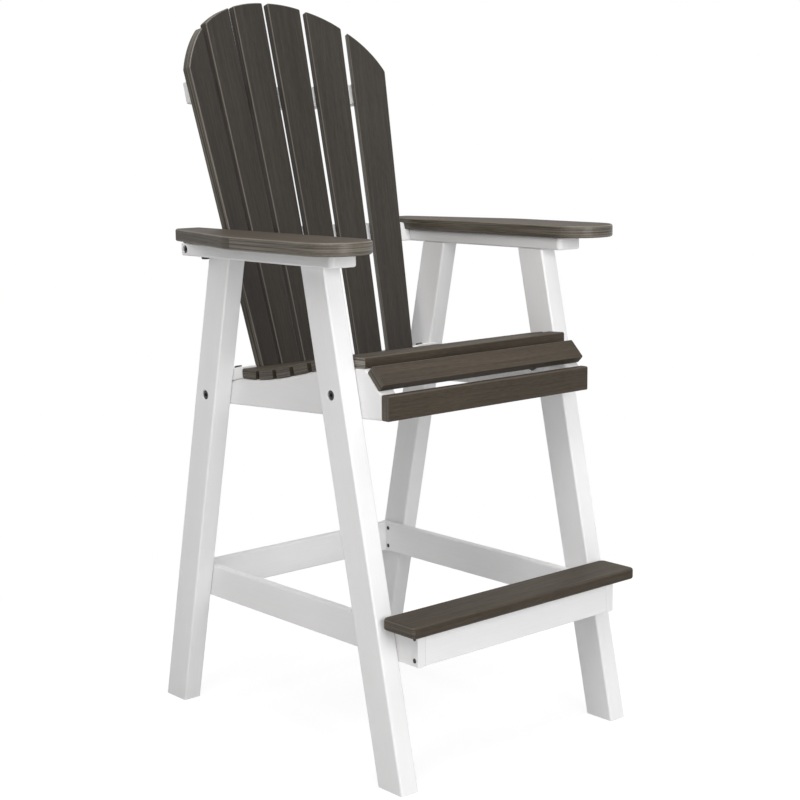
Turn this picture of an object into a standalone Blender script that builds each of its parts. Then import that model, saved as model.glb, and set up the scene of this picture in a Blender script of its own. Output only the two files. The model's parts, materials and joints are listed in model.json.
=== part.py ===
"""Fan-back bar chair with armrests and a footrest, screwed and bolted together from poly-lumber boards.

Metres, +Z up. The chair faces -Y and the sitter's left hand is at +X. The origin lies on the floor,
under the middle of the chair's box.
"""
import math
from collections import defaultdict, namedtuple

import bmesh
import bpy
from mathutils import Matrix, Vector

for leftover in list(bpy.data.objects):
    bpy.data.objects.remove(leftover)

# Fits and edges
GAP = 0.0003
HOLE_CLEARANCE = 0.0003
FRAME_EDGE_ROUND = 0.004
SLAT_EDGE_ROUND = 0.003
EDGE_STEPS = 2
EDGE_ROUND_ANGLE = math.radians(40)
SHARP_ANGLE = math.radians(30)
CORNER_STEPS = 6
MERGE_DISTANCE = 0.000001
SOLVE_STEPS = 12

# Legs
LEG_THICK = 0.041
LEG_WIDTH = 0.067
LEG_LEAN = math.radians(12.1)
LEG_TOP = 0.9566
FOOT_SPAN = 0.772

# Arm rails and armrests
ARM_RAIL_WIDTH = 0.0636
ARM_RAIL_THICK = 0.026
ARM_RAIL_FRONT_OVERHANG = 0.0516
ARM_RAIL_CORNER = 0.010
ARM_BACK_CLEARANCE = 0.0227
ARM_WIDTH = 0.136
ARM_REAR_WIDTH = 0.061
ARM_THICK = 0.025
ARM_INNER_OVERHANG = 0.0122
ARM_FRONT_OVERHANG = 0.0678
ARM_REAR_OVERHANG = 0.0405
ARM_TAPER_LENGTH = 0.2795
ARM_TAPER_BLEND = 0.150
ARM_FRONT_FLAT = 0.006
ARM_REAR_CORNER = 0.010

# Seat
SEAT_RAIL_THICK = 0.038
SEAT_RAIL_DEPTH = 0.055
SEAT_RAIL_RISE = math.radians(3.0)
SEAT_RAIL_END_INSET = 0.004
SEAT_LOW = 0.7125
SEAT_RISE = 0.0595
SEAT_REAR = 0.1345
SEAT_SLAT_COUNT = 7
SEAT_SLAT_WIDTH = 0.045
SEAT_SLAT_THICK = 0.020
SEAT_SLAT_GAP = 0.0122
SEAT_SLAT_END_INSET = 0.0005
NOSE_MARGIN = 0.010
NOSE_OVERHANG = 0.002
NOSE_SLOPE = math.radians(45)
APRON_RISE = 0.0025
APRON_HEIGHT = 0.0475

# Back
BACK_SLAT_COUNT = 6
BACK_SLAT_THICK = 0.019
BACK_RECLINE = math.radians(14.7)
BACK_SEAT_CLEARANCE = 0.009
BACK_BASE_LIFT = 0.0365
BACK_HEIGHT = 0.748
BACK_DROP = 0.040
FAN_HEIGHT = 0.686
SLAT_LOWER_WIDTH = 0.0606
SLAT_UPPER_WIDTH = 0.0806
SLAT_LOWER_GAP = 0.0127
SLAT_UPPER_GAP = 0.0138
BACK_LOWER_RADIUS = 0.488
BACK_UPPER_RADIUS = 0.711
TOP_ARC_HEIGHT = 0.254
TOP_ARC_REACH = 0.0105
TOP_ARC_STEPS = 8

# Back braces
BRACE_DEPTH = 0.0255
BRACE_SIDE_PLAY = 0.003
UPPER_BRACE_DROP = 0.179
UPPER_BRACE_HEIGHT = 0.0455
UPPER_BRACE_INSET = 0.004
MIDDLE_BRACE_LIFT = 0.001
MIDDLE_BRACE_HEIGHT = 0.040
LOWER_BRACE_HEIGHT = 0.024
LOWER_BRACE_SLOPE = math.radians(13.0)
LOWER_BRACE_TAB_DEPTH = 0.052
LOWER_BRACE_SIDE_PLAY = 0.014

# Stretchers and footrest
STRETCHER_THICK = 0.019
STRETCHER_HEIGHT = 0.067
STRETCHER_BOTTOM = 0.2355
STRETCHER_REACH = 0.0575
REAR_STRETCHER_SETBACK = 0.0335
FOOTREST_WIDTH = 0.0905
FOOTREST_THICK = 0.022
FOOTREST_END_OVERHANG = 0.034
FOOTREST_LEG_CLEARANCE = 0.0035
FOOTREST_CORNER = 0.012

# Seat bolts and their nuts
SEAT_BOLT_HEAD_RADIUS = 0.0095
SEAT_BOLT_RADIUS = 0.005
SEAT_BOLT_SINK = 0.002
SEAT_BOLT_TAIL = 0.003
FRONT_BOLT_RISE = 0.0465
REAR_BOLT_RISE = 0.0219
BOLT_SIDES = 14
NUT_RADIUS = 0.0098
NUT_HEIGHT = 0.008
NUT_SIDES = 6

# Arm bolts
ARM_BOLT_HEAD_RADIUS = 0.008
ARM_BOLT_RADIUS = 0.004
ARM_BOLT_SINK = 0.003
ARM_BOLT_SHIFT = -0.004
ARM_BOLT_SETBACK = 0.018
BOLT_HEAD_HEIGHT = 0.006

# Flush screws in the stretchers
FLUSH_HEAD_RADIUS = 0.0045
FLUSH_SCREW_RADIUS = 0.002
FLUSH_SCREW_EDGE_DISTANCE = 0.0125
FLUSH_SCREW_SIDES = 8
REAR_LEG_SCREW_CLEARANCE = 0.002

# Washer-head screws in the arm rails and the lower brace
WASHER_HEAD_RADIUS = 0.008
WASHER_HEAD_HEIGHT = 0.0042
WASHER_SCREW_RADIUS = 0.0025
WASHER_SCREW_SIDES = 10
ARM_SCREW_LEAD = 0.055
ARM_SCREW_BITE = 0.016
BRACE_SCREW_SHIFT = 0.012
SCREW_HEAD_HEIGHT = 0.003
SCREW_BITE = 0.025

# Fastener forms: a head that is sunk has its top below the face, a washer head stands on it
HEAD_CHAMFER = 0.001
HOLE_OVERRUN = 0.005
Fastener = namedtuple("Fastener", "head_radius head_height shank_radius sink sides")
SEAT_BOLT = Fastener(SEAT_BOLT_HEAD_RADIUS, BOLT_HEAD_HEIGHT, SEAT_BOLT_RADIUS, SEAT_BOLT_SINK, BOLT_SIDES)
ARM_BOLT = Fastener(ARM_BOLT_HEAD_RADIUS, BOLT_HEAD_HEIGHT, ARM_BOLT_RADIUS, ARM_BOLT_SINK, BOLT_SIDES)
FLUSH_SCREW = Fastener(FLUSH_HEAD_RADIUS, SCREW_HEAD_HEIGHT, FLUSH_SCREW_RADIUS, GAP, FLUSH_SCREW_SIDES)
WASHER_SINK = -WASHER_HEAD_HEIGHT - GAP
WASHER_SCREW = Fastener(
    WASHER_HEAD_RADIUS, WASHER_HEAD_HEIGHT, WASHER_SCREW_RADIUS, WASHER_SINK, WASHER_SCREW_SIDES
)
SIDES = {"left": 1, "right": -1}

# Back: a fan of flat slats standing on a hollow that is tighter at the bottom than at the top
BACK_AXIS = Vector((0, math.sin(BACK_RECLINE), math.cos(BACK_RECLINE)))
BACK_FRONT = Vector((0, -math.cos(BACK_RECLINE), math.sin(BACK_RECLINE)))


def fan_size(lower, upper, height):
    """A size that changes evenly up the back, from its lower to its upper value."""
    return lower + (upper - lower) * height / FAN_HEIGHT


def slat_edges(index, height):
    """Where a slat's two edges lie across the hollow, measured from the middle line."""
    width = fan_size(SLAT_LOWER_WIDTH, SLAT_UPPER_WIDTH, height)
    pitch = width + fan_size(SLAT_LOWER_GAP, SLAT_UPPER_GAP, height)
    centre = (index - (BACK_SLAT_COUNT - 1) / 2) * pitch
    return centre - width / 2, centre + width / 2


def hollow_offset(across, height):
    """A point of the hollow front surface, from the foot of its middle line."""
    bend = fan_size(1 / BACK_LOWER_RADIUS, 1 / BACK_UPPER_RADIUS, height)
    forward = (1 - math.cos(across * bend)) / bend
    aside = Vector((math.sin(across * bend) / bend, 0, 0))
    return aside + BACK_AXIS * height + BACK_FRONT * forward


OUTER_SLAT = BACK_SLAT_COUNT - 1
LOWEST_CORNER = hollow_offset(slat_edges(OUTER_SLAT, -BACK_DROP)[1], -BACK_DROP)
BACK_BASE = Vector((0, SEAT_REAR + BACK_SEAT_CLEARANCE - LOWEST_CORNER.y, SEAT_LOW + BACK_BASE_LIFT))
TOP_ARC_HALF_WIDTH = slat_edges(OUTER_SLAT, FAN_HEIGHT)[1] + TOP_ARC_REACH


def slat_place(index):
    """Frame of a flat slat: X across it, Y up it, Z out of its front face."""
    foot = [hollow_offset(edge, 0) for edge in slat_edges(index, 0)]
    head = [hollow_offset(edge, FAN_HEIGHT) for edge in slat_edges(index, FAN_HEIGHT)]
    along = (head[0] + head[1] - foot[0] - foot[1]).normalized()
    across = head[1] - head[0] + foot[1] - foot[0]
    across = (across - along * across.dot(along)).normalized()
    place = Matrix((across, along, across.cross(along))).transposed().to_4x4()
    place.translation = BACK_BASE + (foot[0] + foot[1]) / 2
    return place


def slat_corner_x(height):
    """X of the outer slat's outer rear edge, at a height up the slope."""
    left, right = slat_edges(OUTER_SLAT, height)
    return (slat_place(OUTER_SLAT) @ Vector(((right - left) / 2, height, -BACK_SLAT_THICK))).x


def rear_plane(index):
    """Plane just behind a slat, as a normal and a distance, for what is fixed to its rear face."""
    place = slat_place(index)
    normal = place.col[2].to_3d()
    return normal, normal.dot(place.translation - normal * (BACK_SLAT_THICK + GAP))


def level_plane(height):
    return Vector((0, 0, 1)), height


def slope_plane(height):
    """Plane square to the back, at a height measured up the slope."""
    return BACK_AXIS, BACK_AXIS.dot(BACK_BASE) + height


def meeting_point(*planes):
    rows = Matrix([normal for normal, distance in planes])
    return rows.inverted() @ Vector([distance for normal, distance in planes])


def brace_front(cut, end_x):
    """Where a brace's front meets the slats' rear faces in a cutting plane, from right to left."""
    faces = [rear_plane(index) for index in range(BACK_SLAT_COUNT)]
    aside = Vector((1, 0, 0))
    points = [meeting_point(faces[0], (aside, -end_x), cut)]
    points += [meeting_point(first, second, cut) for first, second in zip(faces, faces[1:])]
    points.append(meeting_point(faces[-1], (aside, end_x), cut))
    return points


# Widths of the frame, from the back outwards
ARM_RAIL_BOTTOM = LEG_TOP + GAP
ARM_RAIL_TOP = ARM_RAIL_BOTTOM + ARM_RAIL_THICK
ARM_BOTTOM = ARM_RAIL_TOP + GAP
ARM_TOP = ARM_BOTTOM + ARM_THICK
ARM_LEVEL_ON_BACK = (ARM_TOP - BACK_BASE.z) / math.cos(BACK_RECLINE)
BACK_HALF_WIDTH = hollow_offset(slat_edges(OUTER_SLAT, ARM_LEVEL_ON_BACK)[1], ARM_LEVEL_ON_BACK).x
ARM_INNER_X = BACK_HALF_WIDTH + ARM_BACK_CLEARANCE
ARM_RAIL_INNER_X = ARM_INNER_X + ARM_INNER_OVERHANG
ARM_RAIL_OUTER_X = ARM_RAIL_INNER_X + ARM_RAIL_WIDTH
LEG_INNER_X = ARM_RAIL_INNER_X
LEG_OUTER_X = LEG_INNER_X + LEG_THICK
FRAME_OUTER_X = LEG_INNER_X - GAP
SEAT_RAIL_INNER_X = FRAME_OUTER_X - SEAT_RAIL_THICK
STRETCHER_INNER_X = FRAME_OUTER_X - STRETCHER_THICK
SEAT_SLAT_END_X = FRAME_OUTER_X - SEAT_SLAT_END_INSET

# Places from front to rear
LEAN_RUN = math.tan(LEG_LEAN)
LEG_LEVEL_WIDTH = LEG_WIDTH / math.cos(LEG_LEAN)


def front_leg_front(height):
    """Y of a front leg's front edge."""
    return -FOOT_SPAN / 2 + LEAN_RUN * height


def rear_leg_rear(height):
    """Y of a rear leg's rear edge."""
    return FOOT_SPAN / 2 - LEAN_RUN * height


STRETCHER_TOP = STRETCHER_BOTTOM + STRETCHER_HEIGHT
STRETCHER_MID = STRETCHER_BOTTOM + STRETCHER_HEIGHT / 2
STRETCHER_FRONT = front_leg_front(STRETCHER_MID) - STRETCHER_REACH
REAR_STRETCHER_FRONT = rear_leg_rear(STRETCHER_MID) - LEG_LEVEL_WIDTH + REAR_STRETCHER_SETBACK
REAR_STRETCHER_REAR = REAR_STRETCHER_FRONT + STRETCHER_THICK
FOOTREST_REAR = front_leg_front(STRETCHER_TOP) - FOOTREST_LEG_CLEARANCE
FOOTREST_FRONT = FOOTREST_REAR - FOOTREST_WIDTH
MIDDLE_BRACE_END_X = ARM_RAIL_INNER_X - GAP
MIDDLE_BRACE_STEP_X = slat_corner_x(ARM_LEVEL_ON_BACK) + BRACE_SIDE_PLAY
ARM_BOLT_Z = ARM_RAIL_BOTTOM + ARM_RAIL_THICK / 2
MIDDLE_BRACE_END_FRONT = brace_front(level_plane(ARM_BOLT_Z), MIDDLE_BRACE_STEP_X)[-1].y
ARM_BOLT_Y = MIDDLE_BRACE_END_FRONT + BRACE_DEPTH / 2 + ARM_BOLT_SHIFT
ARM_SCREW_X = (LEG_OUTER_X + ARM_RAIL_OUTER_X) / 2
ARM_SCREW_Y = ARM_BOLT_Y - ARM_SCREW_LEAD
ARM_RAIL_FRONT = front_leg_front(LEG_TOP) - ARM_RAIL_FRONT_OVERHANG
ARM_RAIL_REAR = ARM_BOLT_Y + ARM_BOLT_SETBACK
SEAT_RUN = SEAT_SLAT_COUNT * SEAT_SLAT_WIDTH + (SEAT_SLAT_COUNT - 1) * SEAT_SLAT_GAP
BACK_REAR_EDGE = BACK_AXIS * (BACK_HEIGHT - SLAT_EDGE_ROUND) - BACK_FRONT * BACK_SLAT_THICK
CHAIR_REAR = max(BACK_BASE.y + BACK_REAR_EDGE.y, FOOT_SPAN / 2)

chair = bpy.data.objects.new("chair", None)
bpy.context.scene.collection.objects.link(chair)
chair.location.y = -(FOOTREST_FRONT + CHAIR_REAR) / 2


# Materials
def make_material(name, colour, roughness, metallic):
    material = bpy.data.materials.new(name)
    material.use_nodes = True
    shader = material.node_tree.nodes["Principled BSDF"]
    shader.inputs["Base Color"].default_value = (*colour, 1)
    shader.inputs["Roughness"].default_value = roughness
    shader.inputs["Metallic"].default_value = metallic
    return material


WHITE = make_material("white_poly_lumber", (0.80, 0.80, 0.79), 0.55, 0.0)
BROWN = make_material("brown_poly_lumber", (0.085, 0.070, 0.055), 0.60, 0.0)
DARK = make_material("dark_hardware", (0.030, 0.030, 0.032), 0.45, 0.8)


# Modelling helpers
def add_piece(name, body, material, place):
    """Links a body as a named piece of the chair."""
    bmesh.ops.recalc_face_normals(body, faces=body.faces)
    mesh = bpy.data.meshes.new(name)
    body.to_mesh(mesh)
    body.free()
    mesh.materials.append(material)
    mesh.shade_smooth()
    mesh.set_sharp_from_angle(angle=SHARP_ANGLE)
    piece = bpy.data.objects.new(name, mesh)
    bpy.context.scene.collection.objects.link(piece)
    piece.parent = chair
    piece.matrix_local = place
    return piece


def round_edges(piece, radius):
    bevel = piece.modifiers.new("edge rounding", "BEVEL")
    bevel.width = radius
    bevel.segments = EDGE_STEPS
    bevel.limit_method = "ANGLE"
    bevel.angle_limit = EDGE_ROUND_ANGLE


def loft(lower, upper):
    """Closed body between two outlines that have the same number of points."""
    body = bmesh.new()
    lower_ring = [body.verts.new(point) for point in lower]
    upper_ring = [body.verts.new(point) for point in upper]
    body.faces.new(lower_ring)
    body.faces.new(upper_ring)
    for index in range(len(lower)):
        lower_side = lower_ring[index - 1], lower_ring[index]
        upper_side = upper_ring[index], upper_ring[index - 1]
        body.faces.new(lower_side + upper_side)
    return body


def prism(outline, axis, start, end):
    """Outline carried along an axis: (y, z) points along X, (x, z) along Y, (x, y) along Z."""
    ends = []
    for depth in (start, end):
        points = [list(point) for point in outline]
        for point in points:
            point.insert("XYZ".index(axis), depth)
        ends.append(points)
    return loft(*ends)


def rectangle(left, right, bottom, top):
    return [(left, bottom), (right, bottom), (right, top), (left, top)]


def round_corners(points, radii):
    """Closed outline with an arc in place of each corner."""
    outline = []
    for index, radius in enumerate(radii):
        corner = Vector(points[index])
        back = (Vector(points[index - 1]) - corner).normalized()
        ahead = (Vector(points[(index + 1) % len(points)]) - corner).normalized()
        half = back.angle(ahead) / 2
        centre = corner + (back + ahead).normalized() * radius / math.sin(half)
        first = corner + back * radius / math.tan(half) - centre
        last = corner + ahead * radius / math.tan(half) - centre
        spokes = [first.slerp(last, step / CORNER_STEPS) for step in range(CORNER_STEPS + 1)]
        outline += [centre + spoke * radius for spoke in spokes]
    return outline


def add_board(name, outline, axis, start, end, material=WHITE, edge=FRAME_EDGE_ROUND, place=Matrix()):
    board = add_piece(name, prism(outline, axis, start, end), material, place)
    round_edges(board, edge)
    return board


def turned(profile, sides):
    """Closed turned body about Z; the profile's (radius, height) points run from axis to axis."""
    body = bmesh.new()
    points = [body.verts.new((radius, 0, height)) for radius, height in profile]
    edges = [body.edges.new(pair) for pair in zip(points, points[1:])]
    bmesh.ops.spin(body, geom=points + edges, axis=(0, 0, 1), cent=(0, 0, 0), angle=math.tau, steps=sides)
    bmesh.ops.remove_doubles(body, verts=body.verts, dist=MERGE_DISTANCE)
    return body


def add_to(whole, body, place):
    """Moves a body to its place and adds it to a larger one."""
    bmesh.ops.recalc_face_normals(body, faces=body.faces)
    body.transform(place)
    mesh = bpy.data.meshes.new("moved_body")
    body.to_mesh(mesh)
    body.free()
    whole.from_mesh(mesh)
    bpy.data.meshes.remove(mesh)


def cut_away(board, body):
    cutter = add_piece(f"{board.name}_cutter", body, DARK, Matrix())
    cutter.hide_render = True
    cutter.display_type = "WIRE"
    cut = board.modifiers.new("cut", "BOOLEAN")
    cut.operation = "DIFFERENCE"
    cut.object = cutter


# Legs
def add_legs():
    front = [(front_leg_front(height), height) for height in (0, LEG_TOP)]
    outline = front + [(y + LEG_LEVEL_WIDTH, height) for y, height in reversed(front)]
    for side, sign in SIDES.items():
        span = sign * LEG_INNER_X, sign * LEG_OUTER_X
        add_board(f"front_leg_{side}", outline, "X", *span)
        add_board(f"rear_leg_{side}", [(-y, height) for y, height in outline], "X", *span)


# Arms
def add_arms():
    """Rail on top of the two legs of a side, with the armrest on it."""
    rail = rectangle(ARM_RAIL_INNER_X, ARM_RAIL_OUTER_X, ARM_RAIL_FRONT, ARM_RAIL_REAR)
    arm_front = ARM_RAIL_FRONT - ARM_FRONT_OVERHANG
    arm_rear = ARM_RAIL_REAR + ARM_REAR_OVERHANG
    arm_outer_x = ARM_INNER_X + ARM_WIDTH
    arm = [
        (ARM_INNER_X, arm_front),
        (arm_outer_x, arm_front),
        (arm_outer_x, arm_rear - ARM_TAPER_LENGTH),
        (ARM_INNER_X + ARM_REAR_WIDTH, arm_rear),
        (ARM_INNER_X, arm_rear),
    ]
    front_corner = (ARM_WIDTH - ARM_FRONT_FLAT) / 2
    arm_radii = [front_corner, front_corner, ARM_TAPER_BLEND, ARM_REAR_CORNER, ARM_REAR_CORNER]
    for side, sign in SIDES.items():
        rail_outline = [(sign * x, y) for x, y in round_corners(rail, [ARM_RAIL_CORNER] * len(rail))]
        add_board(f"arm_rail_{side}", rail_outline, "Z", ARM_RAIL_BOTTOM, ARM_RAIL_TOP)
        arm_outline = [(sign * x, y) for x, y in round_corners(arm, arm_radii)]
        add_board(f"armrest_{side}", arm_outline, "Z", ARM_BOTTOM, ARM_TOP, BROWN)


# Seat: slats lie on the rails' scooped upper edge, each on its own short straight
def seat_height(y):
    """Height of the scoop under the slats: an S from the low rear to the high front."""
    share = min(max((SEAT_REAR - y) / SEAT_RUN, 0), 1)
    return SEAT_LOW + SEAT_RISE * (1 - math.cos(math.pi * share)) / 2


def point_ahead(point, distance):
    """Point of the scoop at a straight distance ahead of another one."""
    step = distance
    for _ in range(SOLVE_STEPS):
        step *= distance / math.hypot(step, seat_height(point.x - step) - point.y)
    return Vector((point.x - step, seat_height(point.x - step)))


def slat_seats():
    """Rear and front point of the scoop under each slat, as (y, z), from rear to front."""
    seats = []
    rear = Vector((SEAT_REAR, SEAT_LOW))
    for _ in range(SEAT_SLAT_COUNT):
        front = point_ahead(rear, SEAT_SLAT_WIDTH)
        seats.append((rear, front))
        rear = point_ahead(front, SEAT_SLAT_GAP)
    return seats


SLAT_SEATS = slat_seats()
FRONT_SEAT_REAR, FRONT_SEAT_FRONT = SLAT_SEATS[-1]
NOSE_TOP = FRONT_SEAT_FRONT.lerp(FRONT_SEAT_REAR, NOSE_OVERHANG / SEAT_SLAT_WIDTH)
NOSE_LENGTH = SEAT_SLAT_WIDTH + 2 * NOSE_MARGIN
NOSE_FOOT = NOSE_TOP - NOSE_LENGTH * Vector((math.cos(NOSE_SLOPE), math.sin(NOSE_SLOPE)))
REAR_SLAT_TILT = (SLAT_SEATS[0][1].y - SEAT_LOW) / SEAT_SLAT_WIDTH
TAB_FRONT = SEAT_REAR + REAR_SLAT_TILT * (GAP + SEAT_SLAT_THICK) + GAP


def brace_plane(lift):
    """Plane along the rails' sloping rear ends, at a height square to them."""
    normal = Vector((0, math.sin(LOWER_BRACE_SLOPE), math.cos(LOWER_BRACE_SLOPE)))
    return normal, normal.dot(Vector((0, SEAT_REAR, SEAT_LOW))) + lift


def brace_height(y, lift):
    """Height at which that plane lies over a place behind the seat."""
    normal, distance = brace_plane(lift)
    return (distance - normal.y * y) / normal.z


def seat_rail_bottom(y):
    return SEAT_LOW - SEAT_RAIL_DEPTH + math.tan(SEAT_RAIL_RISE) * (SEAT_REAR - y)


def add_seat_rails():
    rear_end = rear_leg_rear(SEAT_LOW) - SEAT_RAIL_END_INSET
    outline = [Vector((rear_end, brace_height(rear_end, 0)))]
    for rear, front in SLAT_SEATS[:-1]:
        outline += [rear, front]
    outline += [FRONT_SEAT_REAR, NOSE_TOP, NOSE_FOOT]
    outline += [Vector((y, seat_rail_bottom(y))) for y in (NOSE_FOOT.x, rear_end)]
    for side, sign in SIDES.items():
        add_board(f"seat_rail_{side}", outline, "X", sign * SEAT_RAIL_INNER_X, sign * FRAME_OUTER_X)


def add_seat_slat(name, rear, front, width=SEAT_SLAT_WIDTH):
    """Slat lying along a straight of the rails' edge; its frame has Y towards the front and Z out."""
    along = Vector((0, *(front - rear))).normalized()
    aside = Vector((-1, 0, 0))
    place = Matrix((aside, along, aside.cross(along))).transposed().to_4x4()
    place.translation = (0, *((rear + front) / 2))
    outline = rectangle(-SEAT_SLAT_END_X, SEAT_SLAT_END_X, -width / 2, width / 2)
    add_board(name, outline, "Z", GAP, GAP + SEAT_SLAT_THICK, BROWN, SLAT_EDGE_ROUND, place)


def add_seat_slats():
    for index, (rear, front) in enumerate(SLAT_SEATS):
        add_seat_slat(f"seat_slat_{index + 1}", rear, front)
    add_seat_slat("seat_nose_slat", NOSE_TOP, NOSE_FOOT)
    apron_top = NOSE_FOOT + Vector((0, APRON_RISE))
    add_seat_slat("seat_apron", apron_top, apron_top - Vector((0, APRON_HEIGHT)), APRON_HEIGHT)


# Back
def slat_top(index, share):
    """Height of the back's rounded top on a slat, at a share of the slat's width."""
    height = BACK_HEIGHT
    for _ in range(SOLVE_STEPS):
        left, right = slat_edges(index, height)
        reach = (left + (right - left) * share) / TOP_ARC_HALF_WIDTH
        height = BACK_HEIGHT - TOP_ARC_HEIGHT * (1 - math.sqrt(max(0, 1 - reach**2)))
    return height


def add_back_slats():
    shares = [step / TOP_ARC_STEPS for step in range(TOP_ARC_STEPS + 1)]
    for index in range(BACK_SLAT_COUNT):
        place = slat_place(index)
        flatten = place.inverted()
        marks = [(1, -BACK_DROP), (0, -BACK_DROP)] + [(share, slat_top(index, share)) for share in shares]
        outline = []
        for share, height in marks:
            left, right = slat_edges(index, height)
            point = flatten @ (BACK_BASE + hollow_offset(left + (right - left) * share, height))
            outline.append((point.x, point.y))
        name = f"back_slat_{index + 1}"
        add_board(name, outline, "Z", -BACK_SLAT_THICK, 0, BROWN, SLAT_EDGE_ROUND, place)


def add_brace(name, lower, upper):
    brace = add_piece(name, loft(lower, upper), WHITE, Matrix())
    round_edges(brace, SLAT_EDGE_ROUND)
    return brace


def bowed_outline(front, rearwards):
    """Outline of a brace that keeps one depth behind its front."""
    return front + [point + rearwards for point in reversed(front)]


def add_upper_brace():
    top = BACK_HEIGHT - UPPER_BRACE_DROP
    foot = top - UPPER_BRACE_HEIGHT
    end_x = hollow_offset(slat_edges(OUTER_SLAT, foot)[1], foot).x - UPPER_BRACE_INSET
    rearwards = -BACK_FRONT * BRACE_DEPTH
    outlines = [bowed_outline(brace_front(slope_plane(height), end_x), rearwards) for height in (foot, top)]
    add_brace("upper_back_brace", *outlines)


def add_middle_brace():
    """Brace between the arm rails; its upper ends are notched under the armrests' inner overhang."""
    bottom = LEG_TOP + MIDDLE_BRACE_LIFT
    top = bottom + MIDDLE_BRACE_HEIGHT
    outlines = []
    for height in (bottom, top):
        front = brace_front(level_plane(height), MIDDLE_BRACE_STEP_X)
        left_end = Vector((MIDDLE_BRACE_END_X, front[-1].y, height))
        right_end = Vector((-MIDDLE_BRACE_END_X, front[0].y, height))
        outlines.append(bowed_outline([right_end, *front, left_end], Vector((0, BRACE_DEPTH, 0))))
    brace = add_brace("middle_back_brace", *outlines)
    notch_ends = ARM_INNER_X - GAP, MIDDLE_BRACE_END_X + HOLE_OVERRUN
    notch_sides = outlines[0][0].y - HOLE_OVERRUN, outlines[1][-1].y + HOLE_OVERRUN
    notches = bmesh.new()
    for sign in SIDES.values():
        outline = rectangle(sign * notch_ends[0], sign * notch_ends[1], *notch_sides)
        add_to(notches, prism(outline, "Z", ARM_BOTTOM - GAP, top + HOLE_OVERRUN), Matrix())
    cut_away(brace, notches)


def add_lower_brace():
    """Brace on the seat rails' sloping ends behind the seat: a bowed middle with a tab on each rail."""
    step_x = slat_corner_x(0) + LOWER_BRACE_SIDE_PLAY
    tab_rear = TAB_FRONT + LOWER_BRACE_TAB_DEPTH
    rearwards = Vector((0, BRACE_DEPTH, -BRACE_DEPTH * math.tan(LOWER_BRACE_SLOPE)))
    outlines = []
    for lift in (GAP, GAP + LOWER_BRACE_HEIGHT):
        front = brace_front(brace_plane(lift), step_x)
        bow = bowed_outline(front, rearwards)
        tab = [(step_x, TAB_FRONT), (FRAME_OUTER_X, TAB_FRONT), (FRAME_OUTER_X, tab_rear)]
        left_tab = [Vector((x, y, brace_height(y, lift))) for x, y in tab]
        right_tab = [Vector((-x, y, brace_height(y, lift))) for x, y in reversed(tab)]
        outlines.append(bow[:len(front)] + left_tab + bow[len(front):] + right_tab)
    add_brace("lower_back_brace", *outlines)


# Stretchers and footrest
def add_stretchers():
    heights = STRETCHER_BOTTOM, STRETCHER_TOP
    outline = rectangle(STRETCHER_FRONT, REAR_STRETCHER_REAR, *heights)
    for side, sign in SIDES.items():
        add_board(f"side_stretcher_{side}", outline, "X", sign * STRETCHER_INNER_X, sign * FRAME_OUTER_X)
    end_x = STRETCHER_INNER_X - GAP
    across = rectangle(-end_x, end_x, *heights)
    add_board("front_stretcher", across, "Y", STRETCHER_FRONT, STRETCHER_FRONT + STRETCHER_THICK)
    add_board("rear_stretcher", across, "Y", REAR_STRETCHER_FRONT, REAR_STRETCHER_REAR)


def add_footrest():
    end_x = FRAME_OUTER_X + FOOTREST_END_OVERHANG
    corners = rectangle(-end_x, end_x, FOOTREST_FRONT, FOOTREST_REAR)
    outline = round_corners(corners, [FOOTREST_CORNER] * len(corners))
    bottom = STRETCHER_TOP + GAP
    add_board("footrest_board", outline, "Z", bottom, bottom + FOOTREST_THICK, BROWN, SLAT_EDGE_ROUND)


# Fasteners, each with its holes through the boards that it holds together
holes = defaultdict(bmesh.new)


def drive(name, kind, entry, direction, length, boards):
    """Adds a fastener that enters a face at a point, and marks its hole in the boards on its way."""
    place = direction.to_track_quat("Z", "Y").to_matrix().to_4x4()
    place.translation = entry
    under_head = kind.sink + kind.head_height
    profile = [
        (0, kind.sink),
        (kind.head_radius - HEAD_CHAMFER, kind.sink),
        (kind.head_radius, kind.sink + HEAD_CHAMFER),
        (kind.head_radius, under_head),
        (kind.shank_radius, under_head),
        (kind.shank_radius, length),
        (0, length),
    ]
    add_piece(name, turned(profile, kind.sides), DARK, place)
    bore = kind.shank_radius + HOLE_CLEARANCE
    mouth = kind.head_radius + HOLE_CLEARANCE
    if kind.sink > 0:
        seat = under_head + GAP
        hole = [(0, -HOLE_OVERRUN), (mouth, -HOLE_OVERRUN), (mouth, seat), (bore, seat)]
    else:
        hole = [(0, -HOLE_OVERRUN), (bore, -HOLE_OVERRUN)]
    hole += [(bore, length + HOLE_CLEARANCE), (0, length + HOLE_CLEARANCE)]
    for board in boards:
        add_to(holes[board], turned(hole, kind.sides), place)


def front_leg_middle(height):
    return front_leg_front(height) + LEG_LEVEL_WIDTH / 2


def rear_leg_middle(height):
    return rear_leg_rear(height) - LEG_LEVEL_WIDTH / 2


def seat_bolt_point(leg_middle, rise):
    """Point on a leg's middle line at a height above the seat rail's bottom, as (y, z)."""
    z = SEAT_LOW
    for _ in range(SOLVE_STEPS):
        y = leg_middle(z)
        z = seat_rail_bottom(y) + rise
    return y, z


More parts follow.
